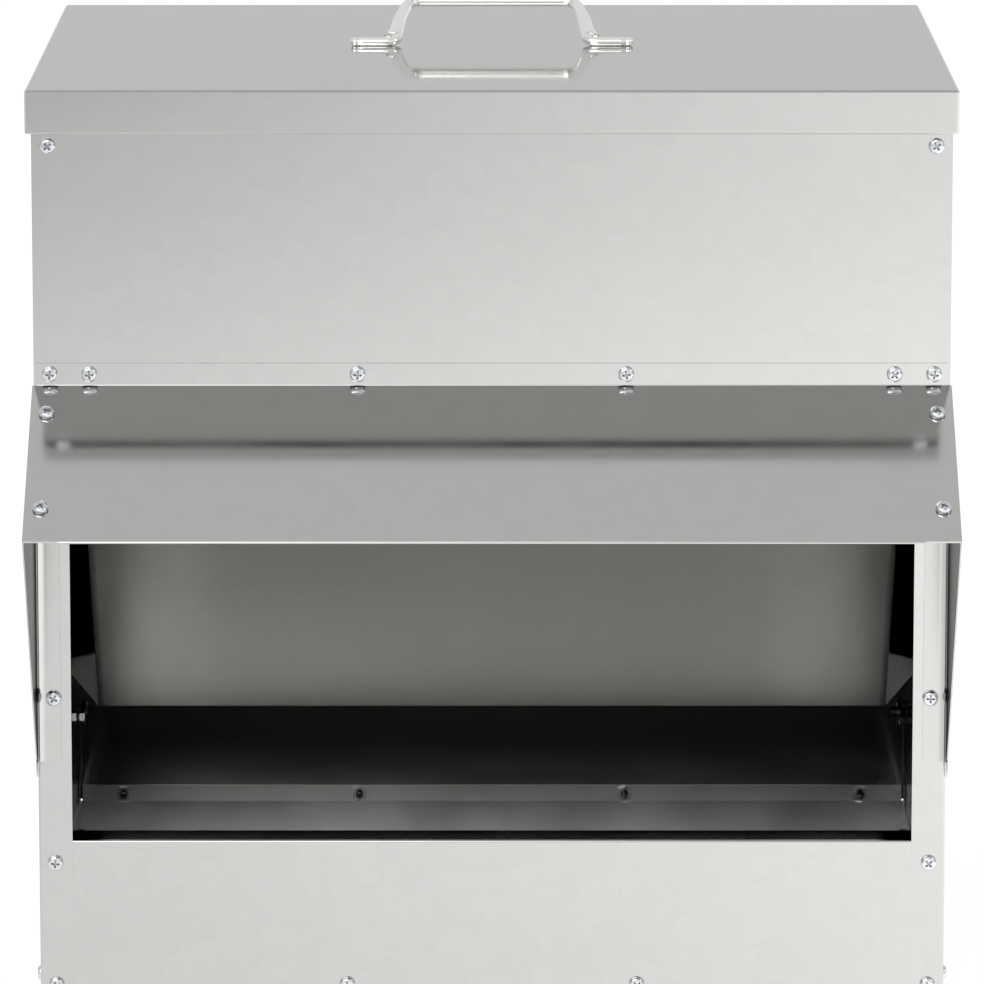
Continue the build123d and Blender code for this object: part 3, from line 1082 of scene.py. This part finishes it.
@dataclass
class Lid:
    """The lift-off lid: a folded pan with a hem inside its skirt, and its wire handle."""

    body: Body
    overhang: float = 3.0
    skirt: float = 22.0
    hem: float = 6.0
    hem_steps: int = 8
    hem_gap: float = 0.02
    hem_step: float = 0.1
    edge_fold: float = 1.1
    corner_radius: float = 1.76
    least_corner: float = 0.25
    corner_steps: int = 5
    wire: float = 5.4
    foot_flat: float = 0.3
    span: float = 148.0
    foot: float = 24.5
    grip: float = 90.0
    reach: float = 37.0
    lean: float = 27.0
    foot_bend: float = 5.0
    grip_bend: float = 8.0
    foot_height: float = 4.3
    foot_blend: float = 7.0
    leg_spread: float = 2.3
    grip_spread: float = 0.9
    grip_corner: float = 4.0
    leg_press: float = 0.3
    least_tip: float = 0.02
    fillet: float = 2.6
    fillet_reach: float = 12.0
    run_step: float = 2.0
    tip_groove: tuple[Point2, ...] = ((3.2, 0.98), (3.7, 0.86), (4.2, 0.86), (4.8, 1.0))
    tip_steps: int = 8
    bend_steps: int = 12
    wire_sides: int = 32
    screw_inset: float = 10.0

    def rim_profile(self) -> list[Point2]:
        """Trace the pan's section from the top, down the skirt, round the hem and back.

        Returns:
            Inset from the outer face and height, in order.
        """
        top, low = self.body.lid_top, self.body.lid_top - self.skirt
        sheet, radius = self.body.sheet, self.edge_fold
        trace: list[Point2] = [(radius, top), (0.0, top - radius)]
        for step in range(self.hem_steps + 1):
            angle = pi * step / self.hem_steps
            trace.append((sheet - sheet * cos(angle), low + sheet - sheet * sin(angle)))
        trace.append((2 * sheet, low + self.hem))
        trace.append((sheet + self.hem_gap, low + self.hem))
        trace.append((sheet, low + self.hem + self.hem_step))
        inner = radius - sheet
        for step in range(self.corner_steps + 1):
            angle = pi / 2 * step / self.corner_steps
            trace.append((radius - inner * cos(angle), top - radius + inner * sin(angle)))
        return trace

    def cover(self) -> bpy.types.Mesh:
        """Build the pan as rounded rectangles that follow its section.

        Returns:
            A closed mesh in metres.
        """
        half_x = self.body.half_width + self.overhang
        half_y = self.body.depth / 2 + self.overhang
        verts: list[Point3] = []
        around = 4 * (self.corner_steps + 1)
        trace = self.rim_profile()
        for inset, z in trace:
            radius = max(self.corner_radius - inset, self.least_corner)
            for quarter, (sx, sy) in enumerate(((1, 1), (-1, 1), (-1, -1), (1, -1))):
                turn = quarter * pi / 2
                cx, cy = sx * (half_x - inset - radius), sy * (half_y - inset - radius)
                for step in range(self.corner_steps + 1):
                    angle = turn + pi / 2 * step / self.corner_steps
                    verts.append((cx + radius * cos(angle), cy + radius * sin(angle), z))
        faces = [list(range(around))]
        faces += [[a, d, c, b] for a, b, c, d in ring_faces(len(trace), around)]
        faces.append([(len(trace) - 1) * around + i for i in range(around)][::-1])
        return to_mesh("lid_pan", verts, faces, 25.0)

    def handle_path(self) -> list[tuple[Point2, float]]:
        """Trace the wire's middle line in its own leaning plane.

        Returns:
            Point and share of full wire size, from one tip to the other.
        """
        tip, foot, grip = self.span / 2, self.span / 2 - self.foot, self.grip / 2
        corners = [(-foot, 0.0, self.foot_bend), (-grip, self.reach, self.grip_bend)]
        corners += [(-x, y, r) for x, y, r in reversed(corners)]
        points = [Vector((-tip, 0.0))] + [Vector(c[:2]) for c in corners] + [Vector((tip, 0.0))]
        path: list[tuple[Point2, float]] = []
        radius = self.wire / 2
        for step in range(self.tip_steps + 1):
            angle = pi / 2 * step / self.tip_steps
            path.append(((-tip + radius - radius * cos(angle), 0.0), max(sin(angle), self.least_tip)))
        for run, share in self.tip_groove:
            path.append(((-tip + run, 0.0), share))
        ends = list(path)
        for i, corner in enumerate(corners):
            here, before, after = points[i + 1], points[i], points[i + 2]
            behind, ahead = (here - before).normalized(), (after - here).normalized()
            turn = -behind.angle_signed(ahead)
            set_back = corner[2] * tan(abs(turn) / 2)
            start = here - behind * set_back
            last = Vector(path[-1][0])
            steps = max(1, round((start - last).length / self.run_step))
            for step in range(1, steps):
                path.append((tuple(last.lerp(start, step / steps)), 1.0))
            side = Vector((-behind.y, behind.x)) * (1 if turn > 0 else -1)
            centre = start + side * corner[2]
            for step in range(self.bend_steps + 1):
                spin = Matrix.Rotation(turn * step / self.bend_steps, 2)
                path.append((tuple(centre + spin @ (start - centre)), 1.0))
        last = Vector(path[-1][0])
        start = Vector((-ends[-1][0][0], 0.0))
        steps = max(1, round((start - last).length / self.run_step))
        for step in range(1, steps):
            path.append((tuple(last.lerp(start, step / steps)), 1.0))
        for (x, y), share in reversed(ends):
            path.append(((-x, y), share))
        return path

    def half_widths(self, x: float, v: float) -> Point2:
        """Return how wide the wire is at a point of its middle line.

        The legs are pressed wider than the grip, and a fillet joins each leg to its foot.

        Args:
            x: Distance from the handle's middle.
            v: Distance up the leaning plane.

        Returns:
            Half-width towards the handle's middle and away from it.
        """
        radius = self.wire / 2
        corner = self.span / 2 - self.foot
        on_leg = smooth((corner + self.fillet_reach / 2 - abs(x)) / (self.fillet_reach / 2))
        low = smooth((self.reach - radius - v) / (self.reach / 2))
        near = min(1.0, hypot(abs(x) - corner, v) / self.fillet_reach)
        outer = radius + self.leg_spread * on_leg * low + self.fillet * (1 - near**2) ** 2
        beside = smooth((abs(x) - self.grip / 2 + self.grip_corner) / self.grip_corner)
        high = smooth((v - self.reach / 2) / (self.reach / 3)) * beside
        return radius - self.leg_press * low * on_leg + self.grip_spread * high, outer

    def handle(self) -> bpy.types.Mesh:
        """Sweep the wire, with its feet pressed flat where they rest on the lid.

        Returns:
            A closed mesh in metres.
        """
        radius, lid_top = self.wire / 2, self.body.lid_top
        foot_half = self.foot_height / 2
        lean = radians(self.lean)
        rise = Vector((0, cos(lean), sin(lean)))
        path = self.handle_path()
        middles, shares = [], []
        for (x, v), _ in path:
            up = smooth(v / self.foot_blend)
            base = lid_top + foot_half + up * (radius - self.foot_flat - foot_half)
            middles.append(Vector((x, 0, base)) + rise * v)
            shares.append(up)
        around = self.wire_sides
        verts: list[Point3] = []
        for i, (middle, up, ((x, v), share)) in enumerate(zip(middles, shares, path)):
            way = (middles[min(i + 1, len(path) - 1)] - middles[max(i - 1, 0)]).normalized()
            tilt = lean * up
            out = Vector((0, -sin(tilt), cos(tilt)))
            side = out.cross(way).normalized()
            inner, outer = self.half_widths(x, v)
            thick = foot_half + up * (radius - foot_half)
            for k in range(around):
                angle = 2 * pi * k / around
                across, high = cos(angle), sin(angle)
                if high < 0:
                    across = (abs(across) ** (0.3 + 0.7 * up)) * (1 if across > 0 else -1)
                width = outer if across > 0 else inner
                at = middle + (side * across * width + out * high * thick) * share
                verts.append((at.x, at.y, max(at.z, lid_top)))
        faces = [list(range(around))[::-1]] + ring_faces(len(path), around)
        faces.append([(len(path) - 1) * around + k for k in range(around)])
        return to_mesh("handle_wire", verts, faces, 60.0)

    def screw_seats(self) -> list[tuple[Point3, Point3]]:
        """Return the seats of the two screws inside the lid."""
        x = self.span / 2 - self.screw_inset
        under = self.body.lid_top - self.body.sheet
        return [((side * x, 0.0, under), (0.0, 0.0, -1.0)) for side in SIDES]

    def build(self, sheet: bpy.types.Material, wire: bpy.types.Material) -> None:
        """Build the lid and its handle and let them stand for their CAD nodes.

        Args:
            sheet: The pan's material.
            wire: The handle's material.
        """
        for name, node, mesh, finish, slot in (
            ("lid_pan", "lid_cover", levelled(self.cover()), sheet, Slot.SHEET),
            ("handle_wire", "lid_handle", self.handle(), wire, Slot.WIRE),
        ):
            piece = mesh_object(name, mesh, finish)
            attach(piece, LID)
            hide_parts(node)
            log.info("%s: %d faces", name, len(mesh.polygons))


# Hood and cheeks


@dataclass
class Hood:
    """The rain hood, folded from one sheet, and the cheek at each side of it."""

    body: Body
    flange: float = 11.2
    flange_inset: float = 1.6
    reach: float = 96.0
    hem: float = 9.0
    hem_inset: float = 17.0
    bend: float = 0.9
    cheek_flange: float = 12.7
    cheek_top_flange: float = 16.0
    cheek_foot: float = 119.0
    cheek_relief: float = 8.3
    cheek_bend: float = 4.6
    edge_gap: float = 1.0
    lap: float = 5.7
    web_inset: float = 0.6
    heel_overlap: Point2 = (2.0, 2.4)
    heel_drop: float = 0.7
    heel_skin: float = 0.04
    strip_overlap: float = 0.05
    hem_gap: float = 0.02

    @property
    def tip(self) -> Point2:
        """The outer tip of the roof, in Y and Z."""
        body = self.body
        run = (self.reach - body.sheet) / cos(radians(body.hood_slope))
        return along((body.front_y - body.sheet, body.hood_bend_height), 180 + body.hood_slope, run)

    def roof(self) -> bpy.types.Mesh:
        """Build the flange, roof and front hem.

        Returns:
            A closed mesh in metres.
        """
        half = self.body.sheet / 2
        down = 180 + self.body.hood_slope
        fold = half + self.hem_gap
        flange_x = self.body.half_width - self.flange_inset
        roof_x = self.body.half_width + self.body.sheet
        hem_x = self.body.half_width - self.hem_inset
        flange_y = self.body.front_y - half
        bend_z = self.body.hood_bend_height - half * tan(radians((90 - self.body.hood_slope) / 2))
        tip = along(along(self.tip, down + 90, half), self.body.hood_slope, self.body.sheet)
        fold_end = along(tip, down + 90, 2 * fold)
        corners = [
            Corner(flange_y, self.body.hood_bend_height + self.flange, 0, -flange_x, flange_x),
            Corner(flange_y, bend_z, self.bend, -roof_x, roof_x),
            Corner(*along(tip, down, fold), fold, -hem_x, hem_x),
            Corner(*along(fold_end, down, fold), fold, -hem_x, hem_x),
            Corner(*along(fold_end, self.body.hood_slope, self.hem), 0),
        ]
        return FoldedSheet("hood_roof", corners, ACROSS_X).build()

    def cheek(self, side: int) -> bpy.types.Mesh:
        """Build one cheek: post flange, web and the flange under the roof.

        Args:
            side: -1 for the left cheek, 1 for the right one.

        Returns:
            A mesh of two closed sheets in metres.
        """
        body, half = self.body, self.body.sheet / 2
        web_x = body.half_width + half
        flange_y = body.front_y + half
        top_z = self.body.hood_bend_height - self.lap - self.edge_gap
        under_tip = along(self.tip, 180 + self.body.hood_slope + 90, body.sheet)
        end_y, end_z = along(under_tip, self.body.hood_slope, self.edge_gap)
        fall = tan(radians(self.body.hood_slope))
        web_top = end_z + (body.front_y - self.cheek_bend - end_y) * fall
        share = (body.front_y - self.cheek_bend - end_y) / (body.front_y + body.sheet - end_y)
        web_foot = end_z - self.web_inset + (self.cheek_foot - end_z) * share
        foot = self.cheek_foot + self.cheek_relief
        corners = [
            Corner(web_x - self.cheek_flange + half, flange_y, 0, foot, top_z),
            Corner(web_x, flange_y, self.cheek_bend, web_foot, web_top, end_z - self.web_inset, end_z),
            Corner(web_x, end_y, 0),
        ]
        corners[1].low = self.cheek_foot
        corners[1].high = end_z + (body.front_y - end_y) * fall
        web = FoldedSheet(f"cheek_web_{side}", corners, ALONG_Z, bend_steps=10).build()
        roof_start = along(self.tip, 180 + body.hood_slope + 90, body.sheet * 1.5)
        roof_start = along(roof_start, body.hood_slope, self.edge_gap)
        run = (body.front_y - self.edge_gap - self.lap - roof_start[0]) / cos(radians(self.body.hood_slope))
        roof_end = along(roof_start, self.body.hood_slope, run)
        strip_x = (body.half_width - self.cheek_top_flange, body.half_width + self.strip_overlap)
        strip = [Corner(*roof_start, 0, *strip_x), Corner(*roof_end, 0)]
        flange = FoldedSheet(f"cheek_flange_{side}", strip, ACROSS_X).build()
        back_y = body.front_y + body.sheet
        bend_y = body.front_y - self.cheek_bend
        forward, up = self.heel_overlap
        heel = [
            (back_y, self.cheek_foot),
            (bend_y - forward, web_foot + up),
            (bend_y - forward, foot),
            (back_y, foot - self.heel_drop),
        ]
        skins = (self.heel_skin, body.sheet - self.heel_skin)
        verts = [(body.half_width + x, y, z) for x in skins for y, z in heel]
        faces = [[0, 1, 2, 3], [7, 6, 5, 4]] + [[i, 4 + i, 4 + (i + 1) % 4, (i + 1) % 4] for i in range(4)]
        mesh = joined("cheek", [web, flange, to_mesh("cheek_heel", verts, faces)])
        if side < 0:
            mesh.transform(Matrix.Scale(-1, 4, Vector((1, 0, 0))))
            mesh.flip_normals()
        return mesh

    def build(self, sheet: bpy.types.Material, folded: bpy.types.Material) -> None:
        """Build the hood and cheeks and let them stand for their CAD nodes.

        Args:
            sheet: The roof's material.
            folded: The cheeks' material.
        """
        made = [("hood_roof", "rain_hood", self.roof(), sheet)]
        for side, word in ((-1, "left"), (1, "right")):
            made.append((f"cheek_{word}", f"hood_cheek_{word}", self.cheek(side), folded))
        for name, node, mesh, finish in made:
            piece = mesh_object(name, levelled(mesh), finish)
            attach(piece, HOUSING)
            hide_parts(node)
            log.info("%s: %d faces", name, len(piece.data.polygons))


# Studio


@dataclass(frozen=True)
class Studio:
    """A pale floor, soft light and the camera at the photograph's viewing angle."""

    camera_place: Point3 = (0.0, -3793.7, 940.8)
    camera_pitch: float = 10.57
    lens: float = 267.4
    sensor: float = 36.0
    floor_half: float = 6000.0
    # Painted light that metal sees on the floor: its level across and along.
    painted_light_across: tuple[Point2, Point2] = ((-800.0, -0.41), (800.0, 0.41))
    painted_light_along: tuple[Point2, Point2] = ((-3400.0, 0.99), (-1400.0, 1.31))
    floor_seen_lift: float = 1.2
    floor_lift_share: float = 0.7
    floor_mirror_share: float = 0.75
    softboxes: tuple[tuple[str, Point3, Point2, float], ...] = (
        ("softbox_left", (-2200.0, -2600.0, 2600.0), (1100.0, 1100.0), 9.0),
        ("softbox_front", (-941.0, -2621.0, 2440.0), (2000.0, 3200.0), 40.0),
        ("softbox_right", (2600.0, -1800.0, 2200.0), (900.0, 1500.0), 9.0),
    )
    look_at: Point3 = (0.0, 0.0, 250.0)
    wall_levels: tuple[Point2, ...] = (
        (0.0, 0.82),
        (1.0, 0.735),
        (0.28, 0.70),
        (0.385, 0.60),
        (0.48, 0.60),
        (0.60, 0.70),
        (0.80, 0.72),
    )

    def floor(self) -> None:
        """Lay the pale floor.

        It is lit for the camera and keeps the object's shadow. Metal sees it as a pale sheet of
        painted light, brighter to the right and towards the object, a fit to the photograph.
        """
        half = self.floor_half
        corners = [(-half, -half, 0.0), (half, -half, 0.0), (half, half, 0.0), (-half, half, 0.0)]
        mesh = bpy.data.meshes.new("floor")
        mesh.from_pydata([tuple(c * MM for c in p) for p in corners], [], [[0, 1, 2, 3]])
        material = bpy.data.materials.new("studio_floor_matt_white")
        material.use_nodes = True
        tree = material.node_tree
        tree.nodes.clear()
        place = add_node(tree, "ShaderNodeTexCoord").outputs["Object"]
        axes = add_node(tree, "ShaderNodeSeparateXYZ", {"Vector": place}).outputs
        rays = add_node(tree, "ShaderNodeLightPath").outputs
        levels = []
        # Painted light: metal sees the floor brighter to the right and towards the object.
        for axis, ((start, low), (end, high)) in (("X", self.painted_light_across), ("Y", self.painted_light_along)):
            inputs = {"Value": axes[axis], "From Min": start * MM, "From Max": end * MM}
            inputs |= {"To Min": low, "To Max": high}
            made = add_node(tree, "ShaderNodeMapRange", inputs, interpolation_type="SMOOTHSTEP")
            levels.append(made.outputs["Result"])
        painted_light = add_node(
            tree, "ShaderNodeMath", {0: levels[0], 1: levels[1]}, operation="ADD"
        ).outputs["Value"]
        pale = add_node(tree, "ShaderNodeEmission", {"Color": linear("#FFFFFF"), "Strength": painted_light})
        lit = add_node(tree, "ShaderNodeBsdfDiffuse", {"Color": linear("#F0F0F0")})
        lift = add_node(
            tree, "ShaderNodeEmission", {"Color": linear("#FFFFFF"), "Strength": self.floor_seen_lift}
        )
        seen = add_node(
            tree, "ShaderNodeMixShader", {0: self.floor_lift_share, 1: lit.outputs[0], 2: lift.outputs[0]}
        )
        inputs = {0: rays["Is Glossy Ray"], 1: self.floor_mirror_share}
        shared = add_node(tree, "ShaderNodeMath", inputs, operation="MULTIPLY")
        for_camera = add_node(
            tree, "ShaderNodeMixShader", {0: rays["Is Camera Ray"], 1: lit.outputs[0], 2: seen.outputs[0]}
        )
        for_metal = add_node(
            tree,
            "ShaderNodeMixShader",
            {0: shared.outputs[0], 1: for_camera.outputs[0], 2: pale.outputs[0]},
        )
        add_node(tree, "ShaderNodeOutputMaterial", {"Surface": for_metal.outputs[0]})
        mesh_object("floor", mesh, material)

    def world(self) -> None:
        """Surround the object with pale walls, white to the camera."""
        world = bpy.data.worlds.new("studio_walls")
        world.use_nodes = True
        bpy.context.scene.world = world
        tree = world.node_tree
        tree.nodes.clear()
        way = add_node(tree, "ShaderNodeTexCoord").outputs["Generated"]
        axes = add_node(tree, "ShaderNodeSeparateXYZ", {"Vector": way}).outputs
        rays = add_node(tree, "ShaderNodeLightPath").outputs
        depth = add_node(
            tree, "ShaderNodeMapRange", {"Value": axes["Y"], "From Min": -1.0, "From Max": 1.0}
        ).outputs["Result"]
        walls = add_node(tree, "ShaderNodeValToRGB", {"Fac": depth})
        ramp = walls.color_ramp
        ramp.interpolation = "EASE"
        for number, (at, level) in enumerate(self.wall_levels):
            stop = ramp.elements[number] if number < 2 else ramp.elements.new(at)
            stop.position = at
            stop.color = (level, level, level, 1.0)
        wall = add_node(tree, "ShaderNodeBackground", {"Color": walls.outputs["Color"], "Strength": 1.0})
        white = add_node(tree, "ShaderNodeBackground", {"Color": linear("#FFFFFF"), "Strength": 1.0})
        mixed = add_node(
            tree, "ShaderNodeMixShader", {0: rays["Is Camera Ray"], 1: wall.outputs[0], 2: white.outputs[0]}
        )
        add_node(tree, "ShaderNodeOutputWorld", {"Surface": mixed.outputs[0]})

    def softbox(self, name: str, place: Point3, size: Point2, power: float) -> None:
        """Hang a softbox that looks at the feeder.

        Args:
            name: Its name.
            place: Where it hangs.
            size: Width and height.
            power: Its power in watts.
        """
        light = bpy.data.lights.new(name, "AREA")
        light.shape = "RECTANGLE"
        light.size, light.size_y = size[0] * MM, size[1] * MM
        light.energy = power
        lamp = bpy.data.objects.new(name, light)
        lamp.location = [c * MM for c in place]
        way = Vector(self.look_at) * MM - lamp.location
        lamp.rotation_euler = way.to_track_quat("-Z", "Y").to_euler()
        lamp.visible_camera = False
        bpy.context.scene.collection.objects.link(lamp)

    def camera(self) -> None:
        """Set the camera where the photograph was taken from."""
        data = bpy.data.cameras.new("camera")
        data.lens = self.lens
        data.sensor_width = self.sensor
        data.clip_end = 100.0
        camera = bpy.data.objects.new("camera", data)
        camera.location = [c * MM for c in self.camera_place]
        camera.rotation_euler = (radians(90 - self.camera_pitch), 0.0, 0.0)
        bpy.context.scene.collection.objects.link(camera)
        bpy.context.scene.camera = camera

    def build(self) -> None:
        """Build the whole studio."""
        bpy.context.scene.view_settings.view_transform = "Standard"
        self.floor()
        self.world()
        for name, place, size, power in self.softboxes:
            self.softbox(name, place, size, power)
        self.camera()


# Assembly


def dress_nodes(names: list[str], material: bpy.types.Material) -> None:
    """Give CAD nodes a finish, without touching their meshes.

    Args:
        names: The nodes.
        material: Their material.
    """
    for name in names:
        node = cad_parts[name]
        if not node.material_slots:
            node.data.materials.append(material)
        for slot in node.material_slots:
            slot.material = material
        log.info("%s: CAD node dressed", name)


def main() -> None:
    """Build every sub-assembly, dress it and report it."""
    logging.basicConfig(level=logging.INFO, format="%(name)s: %(message)s")
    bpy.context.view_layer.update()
    body = Body()
    Studio().build()
    across = GalvanisedSteel().build()
    upright = GalvanisedSteel(name="galvanised_steel_rolled_upright", rolled_along=(0.0, 0.0, 1.0)).build()
    flat = GalvanisedSteel(name="galvanised_steel_lid", roughness=0.05, roughness_spread=0.006).build()
    dull = GalvanisedSteel(name="galvanised_steel_satin", roughness=0.24, roughness_spread=0.03).build()
    # The cheeks' low edge_tint is painted shade: it darkens their glancing reflections.
    folded = GalvanisedSteel(name="galvanised_steel_cheek", roughness=0.16, edge_tint=0.15).build()
    # Painted light and shade on the baffle: lighter towards its sides, dark on the wings beyond them.
    chute = GalvanisedSteel(
        name="galvanised_steel_baffle_toned",
        roughness=0.10,
        painted_light_and_shade=((0.0, 1.05), (140.0, 1.05), (204.0, 1.45), (208.0, 0.35)),
    ).build()
    # Painted shade: the inner face of the back panel is darker than its outer face.
    back = GalvanisedSteel(
        name="galvanised_steel_back_toned",
        rolled_along=(0.0, 0.0, 1.0),
        painted_light_and_shade_axis="Y",
        painted_light_and_shade=((177.5, 0.45), (177.8, 1.0)),
    ).build()
    wire = PolishedStainlessWire().build()
    zinc = BrightZinc().build()
    dress_nodes(["hopper_front_panel", "trough_front_panel"], across)
    dress_nodes(["feed_baffle"], chute)
    dress_nodes(["back_panel"], back)
    dress_nodes(["floor_tray"], dull)
    dress_nodes(["side_panel_left", "side_panel_right"], upright)
    lid = Lid(body)
    lid.build(flat, wire)
    Hood(body).build(across, folded)
    rows = FastenerRows(body)
    for number, (name, (seats, grip)) in enumerate(Seats(body).rows().items()):
        rows.place_row(f"{name}_screws", Fastener.PAN_SCREW, seats, 0.0, zinc, 2 * number)
        rows.place_row(f"{name}_nuts", Fastener.HEX_NUT, seats, grip * body.sheet, zinc, 2 * number + 1)
    handle_seats = lid.screw_seats()
    rows.place_row("lid_handle_screws", Fastener.SMALL_SCREW, handle_seats, 0.0, zinc, HANDLE_SEED, LID)
    rows.clear()


if __name__ == "__main__":
    main()
